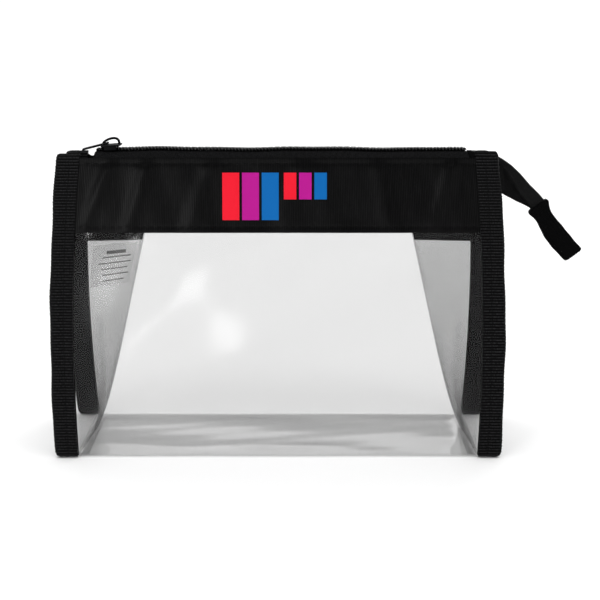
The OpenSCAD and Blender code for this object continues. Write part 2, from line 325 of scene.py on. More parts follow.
def merge(name, objects):
    """One mesh from several that share a material."""
    points, faces, first = [], [], 0
    for obj in objects:
        mesh = obj.data
        points += [tuple(v.co) for v in mesh.vertices]
        faces += [tuple(first + i for i in p.vertices) for p in mesh.polygons]
        first += len(mesh.vertices)
    material = objects[0].data.materials[0]
    for obj in objects:
        mesh = obj.data
        bpy.data.objects.remove(obj)
        bpy.data.meshes.remove(mesh)
    return add_mesh(name, points, faces, material)


def outline_prism(name, outline, place, thick, material, bevel=0.0):
    """A plate from an outline, its edges rounded by bevel; place as in sheet."""
    outline = np.asarray(outline, float)
    n = len(outline)
    top = place(outline[:, 0], outline[:, 1], thick / 2)
    low = place(outline[:, 0], outline[:, 1], -thick / 2)
    faces = [tuple(range(n)), tuple(range(2 * n - 1, n - 1, -1))]
    faces += [(j, n + j, n + (j + 1) % n, (j + 1) % n) for j in range(n)]
    obj = add_mesh(name, np.concatenate([top, low]), faces, material)
    if bevel:
        rounded(obj, bevel)
    return obj


def rounded(obj, width):
    """Rounds an object's sharp edges."""
    mod = obj.modifiers.new("round", "BEVEL")
    mod.width, mod.segments = width, 3
    mod.limit_method, mod.angle_limit = "ANGLE", math.radians(35)
    mod.harden_normals = True


def arc(cx, cy, radius, start, end, steps):
    """Points round part of a circle, in degrees."""
    angles = np.radians(np.linspace(start, end, steps))
    return [(cx + radius * math.cos(a), cy + radius * math.sin(a)) for a in angles]


def rounded_outline(length, width, radius, steps=6):
    """A rectangle with round corners, centred, going round to the left."""
    a, b = length / 2 - radius, width / 2 - radius
    return (
        arc(a, -b, radius, -90, 0, steps)
        + arc(a, b, radius, 0, 90, steps)
        + arc(-a, b, radius, 90, 180, steps)
        + arc(-a, -b, radius, 180, 270, steps)
    )


# ---------------- materials


def new_material(name):
    """A material, its node tree and its shader."""
    material = bpy.data.materials.new(name)
    material.use_nodes = True
    tree = material.node_tree
    return material, tree, tree.nodes["Principled BSDF"]


def node(tree, kind, **inputs):
    """A shader node with those inputs set."""
    made = tree.nodes.new(kind)
    for key, value in inputs.items():
        made.inputs[key.replace("_", " ")].default_value = value
    return made


def cloth_uv(tree, **mapped):
    """The sheet's own flat coordinates, scaled or shifted."""
    where = tree.nodes.new("ShaderNodeUVMap")
    where.uv_map = "cloth"
    mapping = node(tree, "ShaderNodeMapping", **mapped)
    tree.links.new(where.outputs["UV"], mapping.inputs["Vector"])
    return mapping.outputs["Vector"]


def add_bump(tree, shader, height, strength, distance):
    """Raises a surface by that height."""
    bump = node(tree, "ShaderNodeBump", Strength=strength, Distance=distance)
    tree.links.new(height, bump.inputs["Height"])
    tree.links.new(bump.outputs["Normal"], shader.inputs["Normal"])


def maths(tree, operation, *values):
    """A maths node's result; each value is a number or another node's result."""
    made = tree.nodes.new("ShaderNodeMath")
    made.operation = operation
    for socket, value in zip(made.inputs, values):
        if isinstance(value, bpy.types.NodeSocket):
            tree.links.new(value, socket)
        else:
            socket.default_value = value
    return made.outputs[0]


def edge_on(tree, power, start, end):
    """From start where a sheet is faced to end where it is seen edge on."""
    facing = node(tree, "ShaderNodeLayerWeight", Blend=0.5).outputs["Facing"]
    curve = maths(tree, "POWER", facing, power)
    return maths(tree, "MULTIPLY_ADD", curve, end - start, start)


def clear_vinyl(name, faced, edgeways, gleam):
    """Thin clear sheet. It lets that much light through, faced and edge on, and
    gleam is how strongly it shines where it is seen edge on."""
    material, tree, _ = new_material(name)
    tree.nodes.clear()
    out = tree.nodes.new("ShaderNodeOutputMaterial")
    mix = tree.nodes.new("ShaderNodeMixShader")
    see = tree.nodes.new("ShaderNodeBsdfTransparent")
    gloss = node(tree, "ShaderNodeBsdfAnisotropic", Color=(1, 1, 1, 1), Roughness=0.10)
    tree.links.new(edge_on(tree, 2.0, faced, edgeways), see.inputs["Color"])
    tree.links.new(edge_on(tree, 5.0, 0.007 * gleam, gleam), mix.inputs[0])
    tree.links.new(see.outputs[0], mix.inputs[1])
    tree.links.new(gloss.outputs[0], mix.inputs[2])
    tree.links.new(mix.outputs[0], out.inputs["Surface"])
    return material


def grey(level):
    """A very slightly blue grey."""
    return (level, level, level * 1.05, 1)


def paint_shade_and_sheen(tree, shader, height, dark, light):
    """Paints a fabric's base colour from painted shade in its gaps (dark) to a painted
    sheen on its threads (light).
    """
    mix = tree.nodes.new("ShaderNodeMix")
    mix.data_type = "RGBA"
    # dark is the painted shade in the gaps, light is the painted sheen on the threads
    mix.inputs["A"].default_value = grey(dark)
    mix.inputs["B"].default_value = grey(light)
    tree.links.new(height, mix.inputs["Factor"])
    tree.links.new(mix.outputs["Result"], shader.inputs["Base Color"])


def bands(tree, pitch, direction, shift=0.0):
    """Even stripes of that pitch along the sheet's own u (X) or v (Y), from 0 to 1."""
    vector = cloth_uv(tree, Location=(shift, shift, 0))
    wave_length = 20 * pitch * UV_SCALE / (2 * math.pi)
    stripes = node(tree, "ShaderNodeTexWave", Scale=1 / wave_length)
    stripes.bands_direction = direction
    tree.links.new(vector, stripes.inputs["Vector"])
    return stripes.outputs["Fac"]


def sharpen(tree, value, low, high):
    """Stretches a value so that low becomes 0 and high becomes 1."""
    stretch = tree.nodes.new("ShaderNodeMapRange")
    stretch.inputs["From Min"].default_value = low
    stretch.inputs["From Max"].default_value = high
    tree.links.new(value, stretch.inputs["Value"])
    return stretch.outputs["Result"]


def streaks(tree, across, down):
    """Long soft streaks that run up the sheet."""
    noise = node(tree, "ShaderNodeTexNoise", Scale=1.0, Detail=3.0)
    vector = cloth_uv(tree, Scale=(across, down, 1))
    tree.links.new(vector, noise.inputs["Vector"])
    return noise.outputs["Fac"]


def surface(name, rough, specular):
    """A material of that roughness and shine, its node tree and its shader."""
    material, tree, shader = new_material(name)
    shader.inputs["Roughness"].default_value = rough
    shader.inputs["Specular IOR Level"].default_value = specular
    return material, tree, shader


def band_fabric():
    """Black canvas with fine upright ribs, with painted shade in their gaps and a painted
    sheen on them.
    """
    material, tree, shader = surface("band_fabric", 0.32, 0.05)
    ribs, uneven = bands(tree, 0.0009, "X"), streaks(tree, 130, 9)
    height = maths(tree, "MULTIPLY", ribs, uneven)
    # base colour is painted light: painted shade in the rib gaps, painted sheen on the
    # ribs, varied along the streaks
    paint_shade_and_sheen(tree, shader, height, 0.0006, 0.0090)
    add_bump(tree, shader, height, 0.25, 0.00025)
    return material


def ribbed_tape():
    """Black binding tape: a painted sheen on its ribs, dotted with painted glints where
    the weave bumps it, and painted shade between the ribs.
    """
    material, tree, shader = surface("binding_tape", 0.45, 0.03)
    ribs = bands(tree, RIB_PITCH, "Y", -0.0006 * UV_SCALE)
    # these dots bump the tape and also place its painted glints
    knot_bumps_and_glints = sharpen(tree, streaks(tree, 170, 66), 0.25, 0.72)
    height = maths(tree, "MULTIPLY", sharpen(tree, ribs, 0.25, 1.0), knot_bumps_and_glints)
    # painted shade in the gaps, painted sheen and glints on the ribs
    paint_shade_and_sheen(tree, shader, height, 0.0004, 0.026)
    add_bump(tree, shader, knot_bumps_and_glints, 0.5, 0.0003)
    return material


def webbing(name, light, pitch, specular):
    """Plain black woven tape, with painted shade between its threads and a painted sheen
    on them.
    """
    material, tree, shader = surface(name, 0.55, specular)
    warp, weft = bands(tree, pitch, "X"), bands(tree, pitch, "Y")
    height = maths(tree, "MULTIPLY", warp, weft)
    # painted shade between the threads, painted sheen on them up to light
    paint_shade_and_sheen(tree, shader, height, 0.0006, light)
    add_bump(tree, shader, height, 0.5, 0.0002)
    return material


def plain(name, colour, rough, specular=0.5, alpha=1.0):
    """One flat colour."""
    material, _, shader = surface(name, rough, specular)
    shader.inputs["Base Color"].default_value = (*colour, 1)
    shader.inputs["Alpha"].default_value = alpha
    return material


CLEAR = clear_vinyl("clear_vinyl", 0.903, 0.985, 1.0)
GUSSET_CLEAR = clear_vinyl("gusset_vinyl", 0.87, 0.60, 0.2)
BAND = band_fabric()
TAPE_BLACK = ribbed_tape()
# Each webbing's second number is the painted sheen on its threads.
ZIP_BLACK = webbing("zip_tape", 0.0300, 0.0006, 0.0)
TAB_BLACK = webbing("tab_webbing", 0.0055, 0.0008, 0.02)
TAIL_BLACK = webbing("tail_tape", 0.0140, 0.0006, 0.08)
NYLON = plain("nylon_coil", (0.0022, 0.0022, 0.0024), 0.24, specular=0.35)
THREAD = plain("thread", (0.003, 0.003, 0.0032), 0.6, specular=0.03)
METAL = plain("black_enamel", (0.004, 0.004, 0.0044), 0.45, specular=0.04)
LABEL = plain("label_film", (0.30, 0.30, 0.30), 0.4, alpha=0.13)
LABEL_INK = plain("label_ink", (0.09, 0.09, 0.09), 0.6)
RED = plain("print_red", (0.76, 0.009, 0.026), 0.6, specular=0.1)
MAGENTA = plain("print_magenta", (0.42, 0.007, 0.24), 0.6, specular=0.1)
BLUE = plain("print_blue", (0.001, 0.115, 0.38), 0.6, specular=0.1)


# ---------------- baking pieces in place and attaching them to bodies


def opens_along(obj):
    """On the real bag the front side is drawn forward from the left end while the right
    end stays; here a piece only has its place baked into its mesh.
    """
    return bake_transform(obj)


def opens_across(obj):
    """The left gusset, whose back edge stays and front edge goes forward on the real bag;
    here a piece only has its place baked into its mesh.
    """
    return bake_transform(obj)


def tail_bends(obj):
    """The tail, which swings about its root beside the right bindings on the real bag;
    here a piece only has its place baked into its mesh.
    """
    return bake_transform(obj)


def follow_side(obj, side):
    """On the real bag the front opens with the mouth; here a front piece only has its
    place baked into its mesh, and a back piece is attached to the body.
    """
    return opens_along(obj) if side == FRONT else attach(obj, "body")


def ride_binding(obj, side_x, side_y):
    """Only the front left edge moves with the front wall."""
    moving = side_y == FRONT and side_x == LEFT
    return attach(obj, "front_wall" if moving else "body")


# ---------------- walls


def fold_profile(s):
    """Out from the base, round its fold and up a wall: (angle, out, up, v).

    s is the length along the sheet, 0 where the fold starts on the base."""
    angle = np.clip(s, 0, FOLD_ARC) / FOLD_RADIUS
    out = BASE_DEPTH / 2 - FOLD_IN + np.minimum(s, 0) + FOLD_RADIUS * np.sin(angle)
    up = BASE_LEVEL + FOLD_RADIUS * (1 - np.cos(angle))
    return angle, out, up, np.maximum(s - FOLD_ARC, 0) + FOLD_IN


def wrapped_point(u, s, off, side):
    """A place on the clear sheet that wraps the base and a wall; u is -1 to 1."""
    angle, out, up, v = fold_profile(s)
    width = half_width(np.where(s > FOLD_ARC, v, 0))
    reach = width + FIN * smooth((v - 0.0022) / 0.002) - 0.0002
    x = u * reach
    wall = wall_point(x, v, off, side)
    y = out + off * np.sin(angle)
    z = up - off * np.cos(angle)
    low = np.stack([x, side * y, z], -1)
    run = np.maximum(s - FOLD_ARC, 0)[..., None]
    flat_wall = low + run * wall_up(side)
    lead = smooth((s - FOLD_ARC) / 0.004)[..., None]
    return flat_wall * (1 - lead) + wall * lead


def across_steps(count):
    """Even steps from a sheet's left edge to its right one."""
    return np.linspace(-1, 1, count)


def front_sheet():
    """The clear front, folded under at the base's front edge."""
    rows = np.concatenate(
        [np.linspace(0, FOLD_ARC, 7), np.linspace(FOLD_ARC, SHEET_TOP, 60)[1:]]
    )

    def place(u, s, off):
        return wrapped_point(u, s, off, FRONT)

    obj = sheet("front_clear_sheet", across_steps(90), rows, place, SHEET, CLEAR)
    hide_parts("front_window")
    return opens_along(obj)


def base_point(u, y, off):
    """The base: nearly flat, with soft ripples that run from side to side."""
    x = u * (CLEAR_BASE / 2 - 0.0002)
    inside = smooth((BASE_DEPTH / 2 - 0.004 - np.abs(y)) / 0.012)
    inside = inside * smooth((1 - np.abs(u)) / 0.06)
    ripple = (
        0.00012 * (1 + wave(y, x, 0.040, 0.15, 0.4))
        + 0.00002 * (1 + wave(y, x, 0.013, -0.20, 1.0))
        + 0.00030 * (1 + wave(x, y, 0.085, 0.45, 2.0))
    )
    z = BASE_LEVEL + inside * ripple + off
    return np.stack([x, y, z], -1)


def base_back_sheet():
    """The clear base and back, one sheet folded at the back edge."""
    start = BASE_DEPTH / 2 - FOLD_IN
    depth = 2 * start

    def place(u, s, off):
        flat = base_point(u, np.clip(s, 0, depth) - start, off)
        wall = wrapped_point(u, np.maximum(s - depth, 0), -off, BACK)
        return np.where((s < depth)[..., None], flat, wall)

    rows = np.concatenate(
        [
            np.linspace(0, depth, 48),
            depth + np.linspace(0, FOLD_ARC, 7)[1:],
            depth + np.linspace(FOLD_ARC, SHEET_TOP, 48)[1:],
        ]
    )
    obj = sheet("base_back_sheet", across_steps(80), rows, place, SHEET, CLEAR)
    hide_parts("base_panel", "back_window")
    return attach(obj, "body")


def left_dip(x):
    """Where the back's top edge drops, between the left binding and the slider."""
    return smooth((x + 0.1025) / 0.004) * smooth((-0.0875 - x) / 0.004)


def band_point(x, v, off, side):
    """The band: thicker at its turned hems, drawn in along its stitches."""
    hem = hill(v - WALL + 0.0008, 0.0012) + 0.7 * hill(v - BAND_LOW - 0.0008, 0.0012)
    seam = hill(v - WALL + BAND_SEAM_IN, 0.0009)
    seam = seam + hill(v - BAND_LOW - BAND_SEAM_IN, 0.0009)
    pucker = 0.5 + 0.5 * np.cos(2 * math.pi * x / STITCH_PITCH)
    change = 0.00012 * hem - 0.00010 * seam * (0.6 + 0.4 * pucker)
    if side == BACK:
        v = v - 0.0024 * left_dip(x) * smooth((v - WALL + 0.006) / 0.006)
    return wall_point(x, v, BAND_OFF + off + np.where(off > 0, change, 0), side)


def band(side):
    """The ribbed black band across the top of a wall."""
    rows = np.concatenate(
        [
            BAND_LOW + np.linspace(0, 0.005, 11),
            np.linspace(BAND_LOW + 0.005, WALL - 0.005, 24)[1:-1],
            WALL - np.linspace(0.005, 0, 11),
        ]
    )

    def place(u, v, off):
        return band_point(u * (half_width(v) + FIN), v, off, side)

    name, us = SIDE_NAME[side] + "_band_cloth", across_steps(340)
    obj = sheet(name, us, rows, place, FABRIC, BAND, flip=side == BACK)
    for item in obj.data.uv_layers["cloth"].data:
        item.uv[0] *= half_width(BAND_LOW) + FIN
    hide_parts(SIDE_NAME[side] + "_band")
    return follow_side(obj, side)


def gusset_path(q, v, off, side):
    """A place on a gusset sheet: q runs -1 to 1 from front fin to back fin."""
    q, v, off = np.broadcast_arrays(*(np.asarray(a, float) for a in (q, v, off)))
    edge = half_width(v) - 0.0003
    half, _ = leaning(v, GUSSET_OFF)
    deep = crease_in(v)
    run = np.clip(np.abs(q) / LEAF_SHARE, 0, 1)
    out = np.clip((np.abs(q) - LEAF_SHARE) / (1 - LEAF_SHARE), 0, 1) * (FIN - 0.0003)
    y = run * half
    round_off = 0.0010
    bow = (np.sqrt(y**2 + round_off**2) - round_off) / (
        np.sqrt(half**2 + round_off**2) - round_off
    )
    x = edge - deep * (1 - bow) + out
    y = np.sign(q) * y
    z = v * math.cos(LEAN)
    # Facets: broad flat folds that run across each leaf
    fade = smooth(run / 0.15) * smooth((1 - run) / 0.25) * smooth(v / 0.02)
    facet = 0.0008 * np.abs(
        ((v * 0.9 + run * 0.035 * np.sign(q)) / 0.047) % 1 - 0.5
    ) + 0.0006 * np.abs(((v * 0.35 - run * 0.06) / 0.031) % 1 - 0.5)
    slope = unit(np.stack([deep, half], -1))
    on_leaf = (run < 1) & (v > 0)
    lean_x = np.where(on_leaf, slope[..., 1], 0)
    lean_y = np.where(on_leaf, slope[..., 0], 1)
    push = off + fade * facet
    soft = smooth(run / 0.06)
    x = x - push * np.where(on_leaf, lean_x * soft + (1 - soft), lean_x)
    y = y + np.sign(q) * push * lean_y * soft
    return np.stack([side * x, y, z], -1)


def gusset(name, side, heights, inwards, thick, material, rows, droop=0.0):
    """One sheet of a gusset; its lower edge droops at the crease."""
    ease = np.linspace(-1, 1, 61)
    qs = np.sign(ease) * np.abs(ease) ** 1.25
    low, high = heights

    def place(q, v, off):
        drop = droop * (1 - np.abs(q)) * (high - v) / (high - low)
        return gusset_path(q, v - drop, inwards + off, side)

    vs = np.linspace(low, high, rows)
    return sheet(name, qs, vs, place, thick, material, flip=side == LEFT)


def gusset_pair(side):
    """A side's clear gusset and its dark top."""
    word = END_NAME[side]
    name, heights = word + "_gusset_sheet", (0.0012, BAND_LOW + BAND_LAP)
    clear = gusset(name, side, heights, 0.0, SHEET, GUSSET_CLEAR, 50)
    droop = 0.0036
    name, heights = word + "_gusset_band_cloth", (BAND_LOW - droop, WALL - 0.004)
    dark = gusset(name, side, heights, -0.0007, FABRIC, BAND, 22, droop)
    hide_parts(word + "_gusset_front_leaf", word + "_gusset_back_leaf")
    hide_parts(word + "_gusset_front_band", word + "_gusset_back_band")
    for obj in (clear, dark):
        if side == LEFT:
            opens_across(obj)
        else:
            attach(obj, "body")


def base_weld(side):
    """The weld where the base's side edge meets the gusset."""

    def place(u, y, off):
        x = CLEAR_BASE / 2 - 0.0052 + u * 0.005
        z = BASE_LEVEL + 0.00055 + off + 0.00008 * np.sin(y / 0.0004)
        up = smooth((u - 0.8) / 0.2) * 0.0022
        return np.stack([side * x, y, z + up], -1)

    name, end = END_NAME[side] + "_base_weld", BASE_DEPTH / 2 - 0.002
    us, ys = np.linspace(0, 1, 12), np.linspace(-end, end, 150)
    obj = sheet(name, us, ys, place, 0.0003, CLEAR, flip=side == LEFT)
    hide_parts(END_NAME[side] + "_base_seam")
    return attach(obj, "body")


# ---------------- bindings


def binding_section(inside):
    """Across the folded tape: (outwards along x, off) pairs from front to back."""
    reach = BINDING - inside
    front = BINDING_FACE - inside
    back = BINDING_BACK + inside
    middle, round_by = (front + back) / 2, (front - back) / 2
    run = np.linspace(0, reach - round_by, 9)
    turn = np.linspace(math.pi / 2, -math.pi / 2, 7)[1:-1]
    out = [(r, front) for r in run]
    out += [
        (reach - round_by + round_by * math.cos(a), middle + round_by * math.sin(a))
        for a in turn
    ]
    out += [(r, back) for r in run[::-1]]
    return np.array(out)


def binding(name, side_x, side_y, above):
    """A folded binding tape of cross ribs that stands above the wall's top."""
    low, high = 0.0006, WALL + above
    ribs = int(round((high - low) / RIB_PITCH))
    rows = np.linspace(low, high, ribs * RIB_STEPS + 1)
    section_out, section_in = binding_section(0.0), binding_section(0.0005)
    count = len(section_out)
    corner = 0.0030

    def rings(section, ribbed):
        r, off = section[:, 0][None, :], section[:, 1][None, :]
        v = rows[:, None]
        middle = (off.max() + off.min()) / 2
        closed = 0.0011 * smooth((v - WALL) / max(above, 0.0010))
        off = middle + (off - middle) * (1 - closed / (off.max() - middle))
        rounding = corner_cut(np.minimum(v - low, high - v), corner)
        reach = 1 - rounding * 0.55 / BINDING
        rib = np.abs(np.sin(math.pi * (v - low) / RIB_PITCH)) ** 0.7
        knots = 0.75 + 0.25 * np.sin(2 * math.pi * r / 0.0021 + (v // RIB_PITCH) * math.pi)
        seam = hill(r - SEAM_SHARE * BINDING, 0.0006)
        relief = (0.00036 * rib * knots * (1 - seam) - 0.00034 * seam) * ribbed
        grow = np.where(off > -0.0003, 1, -1) * relief
        edge = np.clip((r - BINDING + 0.0022) / 0.0022, 0, 1)
        sway = 0.00022 * np.sin(v / 0.0093 + side_x) + 0.00013 * np.sin(v / 0.0041)
        x = half_width(v) + r * reach + edge * (relief + sway)
        y, z = leaning(v, off + grow * (1 - 0.6 * edge))
        x, y, z = np.broadcast_arrays(x, y, z)
        return np.stack([side_x * x, side_y * y, z], -1).reshape(-1, 3)

    points = np.concatenate([rings(section_out, True), rings(section_in, False)])
    faces = closed_faces(len(rows), count, flip=side_x * side_y > 0)
    across = np.tile(np.linspace(0, 2 * BINDING, count), (len(rows), 1))
    flat = np.stack([across.ravel(), np.repeat(rows, count)], -1) * UV_SCALE
    return add_mesh(name, points, faces, TAPE_BLACK, np.tile(flat, (2, 1)), sharp=70)


def bindings():
    """The four folded edges, each with how far it stands above its wall."""
    for side_x, side_y, above in (
        (LEFT, FRONT, 0.0022),
        (RIGHT, FRONT, 0.0034),
        (LEFT, BACK, 0.0003),
        (RIGHT, BACK, 0.0003),
    ):
        stands_for = f"{SIDE_NAME[side_y]}_{END_NAME[side_x]}_binding"
        obj = binding(stands_for + "_tape", side_x, side_y, above)
        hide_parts(stands_for)
        ride_binding(obj, side_x, side_y)


# ---------------- stitches


def pill(centre, along, across, out, length, width, depth):
    """One stitch: points and faces of a small rounded bar."""
    rings, sides = 5, 6
    points = []
    for i in range(rings):
        t = -1 + 2 * i / (rings - 1)
        size = max(0.25, math.sqrt(max(0.0, 1 - t**4)))
        for j in range(sides):
            a = 2 * math.pi * j / sides
            points.append(
                centre
                + along * (t * length / 2)
                + across * (math.cos(a) * width / 2 * size)
                + out * (math.sin(a) * depth / 2 * size)
            )
    return points, pipe_faces(rings, sides)


def stitches(name, places, length=STITCH_LENGTH, width=0.00042, depth=0.0003):
    """A row of stitches. places are (centre, along, out) of each."""
    points, faces = [], []
    for centre, along, out in places:
        along, out = unit(along), unit(out)
        across = np.cross(out, along)
        more, quads = pill(centre, along, across, out, length, width, depth)
        faces += [tuple(i + len(points) for i in f) for f in quads]
        points += more
    return add_mesh(name, points, faces, THREAD)


def band_rows(side):
    """The two rows of stitches along a band."""
    places = []
    for v in (WALL - BAND_SEAM_IN, BAND_LOW + BAND_SEAM_IN):
        count = int((2 * float(half_width(v)) - 2 * STITCH_LENGTH) / STITCH_PITCH)
        for i in range(count + 1):
            x = (i - count / 2) * STITCH_PITCH
            centre, ahead = wall_point([x, x + 0.001], v, BAND_FACE - 0.00005, side)
            places.append((centre, ahead - centre, wall_out(side)))
    obj = stitches(SIDE_NAME[side] + "_band_seams", places)
    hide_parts(SIDE_NAME[side] + "_band_stitches")
    return follow_side(obj, side)


def binding_columns(side_y):
    """A column of stitches down each binding of one wall, on its outer face."""
    for side_x, word in END_NAME.items():
        places = []
        start, pitch = 0.005, 0.0030
        for i in range(int((WALL - 2 * start) / pitch) + 1):
            v = start + i * pitch
            r = float(half_width(v)) + SEAM_SHARE * BINDING
            y, z = leaning(v, BINDING_FACE - 0.00002)
            centre = np.array([side_x * r, side_y * y, z])
            places.append((centre, wall_up(side_y), wall_out(side_y)))
        name = f"{SIDE_NAME[side_y]}_{word}_binding_seam"
        obj = stitches(name, places, 0.0021, 0.0004, 0.00035)
        ride_binding(obj, side_x, side_y)
    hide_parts(SIDE_NAME[side_y] + "_binding_stitches")


# ---------------- zipper


def tape_line(s, side):
    """Across a tape half, s from 0 inside the band to 1 at its edge: (y, z)."""
    low = wall_point(0.0, WALL - 0.007, -0.0004, side) * [1, side, 1]
    high = wall_point(0.0, WALL - 0.0006, -0.0003, side) * [1, side, 1]
    knots = np.array(
        [
            [low[1], low[2]],
            [high[1], high[2]],
            [high[1] - 0.0022, high[2] + 0.0010],
            [0.0062, TAPE_LEVEL - 0.0001],
            [0.0040, TAPE_LEVEL],
            [0.0009, TAPE_LEVEL],
        ]
    )
    lengths = np.concatenate(
        [[0], np.cumsum(np.linalg.norm(np.diff(knots, axis=0), axis=1))]
    )
    at = s * lengths[-1]
    y, z = np.interp(at, lengths, knots[:, 0]), np.interp(at, lengths, knots[:, 1])
    return y, z


def zip_tape(side):
    """One half of the zipper's tape, from under its band to the coil."""

    def place(x, s, off):
        y, z = tape_line(s, side)
        y2, z2 = tape_line(np.minimum(s + 0.02, 1), side)
        y1, z1 = tape_line(np.maximum(s - 0.02, 0), side)
        run = unit(np.stack([y2 - y1, z2 - z1], -1))
        z = z + lift(x) * smooth((s - 0.35) / 0.3) - run[..., 0] * off
        y = y + run[..., 1] * off
        return np.stack([x, side * y, z], -1)

    xs, ss = np.linspace(TAPE_LEFT, TAPE_RIGHT, 160), np.linspace(0, 1, 24)
    name = SIDE_NAME[side] + "_zip_cloth"
    obj = sheet(name, xs, ss, place, TAPE, ZIP_BLACK, flip=side == BACK)
    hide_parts(SIDE_NAME[side] + "_zip_tape")
    return follow_side(obj, side)


def squared(c):
    """Flattens a turn, so that it is nearer to a rounded square."""
    return np.sign(c) * np.abs(c) ** 0.75


def coil_points(side, start, end, shift):
    """The centre line of one coil half: a flattened screw."""
    turns = (end - start) / COIL_PITCH
    t = np.linspace(0, turns, int(turns * 14))
    a = 2 * math.pi * t
    reach, rise = 0.00150, 0.00056
    y = side * (reach - reach * squared(np.cos(a)))
    x = start + COIL_PITCH * (t + shift) - 0.0002 * np.cos(a)
    z = TAPE_TOP + 0.00095 + rise * squared(np.sin(a)) + lift(x)
    return np.stack([x, y, z], -1)


def coil(side):
    """One half of the coil: a wound wire over a core."""
    name, shift = SIDE_NAME[side] + "_coil_half", 0.0 if side == FRONT else 0.12
    line = coil_points(side, COIL_START, COIL_END - COIL_PITCH, shift)
    wire = tube(name, line, COIL_WIRE, NYLON, sides=8)
    xs = np.linspace(COIL_START, COIL_END, 120)
    ys = np.full(len(xs), side * COIL_MIDDLE)
    core = np.stack([xs, ys, TAPE_LEVEL + 0.0012 + lift(xs)], -1)
    filler = tube(name + "_core", core, 0.00062, THREAD, sides=8, flat=0.7)
    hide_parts(SIDE_NAME[side] + "_coil")
    for obj in (wire, filler):
        follow_side(obj, side)


def coil_seam(side):
    """The two rows of thread that hold a coil half on its tape."""
    places, pitch = [], 0.0033
    for y, height in ((0.0034, 0.0003), (0.0026, 0.00172)):
        for i in range(int((COIL_END - COIL_START) / pitch)):
            x = COIL_START + 0.002 + i * pitch
            z = TAPE_TOP + height + float(lift(x)) - 0.0001
            centre = np.array([x, side * y, z])
            places.append((centre, np.array([1.0, 0, 0]), np.array([0, 0, 1.0])))
    name = SIDE_NAME[side] + "_coil_seam"
    obj = stitches(name, places, 0.0029, 0.00035, 0.00025)
    return follow_side(obj, side)


def zip_stop(side):
    """The crimped stop at the coil's left end."""
    low = TAPE_TOP + 0.0001
    outline = rounded_outline(0.0026, 0.0012, 0.0003, 3)

    def place(u, v, off):
        x = COIL_START - 0.0011 + off
        return np.stack([x + 0 * u, side * (COIL_MIDDLE + u), low + 0.0006 + v], -1)

    name = SIDE_NAME[side] + "_stop_clamp"
    obj = outline_prism(name, outline, place, 0.0016, METAL, 0.0003)
    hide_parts(SIDE_NAME[side] + "_top_stop")
    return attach(obj, "front_wall" if side == FRONT else "body")


def slider_plate(outline, level, thick, tilt=0.0):
    """A flat part of the slider, its middle at that level, its nose tilted up."""

    def place(u, v, off):
        return np.stack([SLIDER_X + u, v, level + off + tilt * u], -1)

    return outline_prism("plate", outline, place, thick, METAL)


def slider():
    """The slider, tapered plates joined by side walls and a post, and its bridge."""
    coil_top = TAPE_TOP + 0.00005 + 0.0018
    plate_low, plate, tilt = coil_top + 0.0006, 0.0008, 0.07
    a, b = SLIDER_LENGTH / 2, SLIDER_WIDTH / 2
    outline = (
        arc(a - 0.0022, -b * 0.62, 0.0020, -70, 0, 5)
        + arc(a - 0.0022, b * 0.62, 0.0020, 0, 70, 5)
        + arc(-a + 0.0026, b - 0.0022, 0.0022, 90, 170, 6)
        + arc(-a + 0.0026, -b + 0.0022, 0.0022, 190, 270, 6)
    )
    small = [(x * 0.92, y * 0.88) for x, y in outline]
    under_top = TAPE_LEVEL - TAPE / 2 - 0.00045
    parts = [
        slider_plate(outline, plate_low + plate / 2, plate, tilt),
        slider_plate(small, under_top - plate / 2, plate),
    ]
    low, high = TAPE_TOP + 0.0006, plate_low + 0.0002
    for side in (-1, 1):
        wall = rounded_outline(SLIDER_LENGTH - 0.0044, 0.0011, 0.0005, 4)
        wall = [(x, y + side * (b - 0.0007)) for x, y in wall]
        parts.append(slider_plate(wall, (low + high) / 2, high - low, tilt / 2))
    post = rounded_outline(0.0028, 0.0007, 0.0003, 4)
    post = [(x - a + 0.0021, y) for x, y in post]
    tall = plate_low - under_top + 0.0002
    parts.append(slider_plate(post, (under_top + plate_low) / 2, tall))
    obj = merge("slider_shell", parts)
    rounded(obj, METAL_EDGE)
    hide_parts("slider_body")
    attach(obj, "slider")

    steps = np.linspace(0, math.pi, 25)
    top_level = plate_low + plate
    reach, lean = 0.0042, np.cos(steps)
    rise = 0.0032 * np.sin(steps) ** 0.7 * (1 + 0.22 * lean) + tilt * reach * lean
    bow = np.stack([SLIDER_X + reach * lean, 0 * steps, top_level - 0.0002 + rise], -1)
    bridge = tube("slider_arch", bow, 0.00085, METAL, sides=10, flat=0.75)
    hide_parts("slider_bridge")
    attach(bridge, "slider")


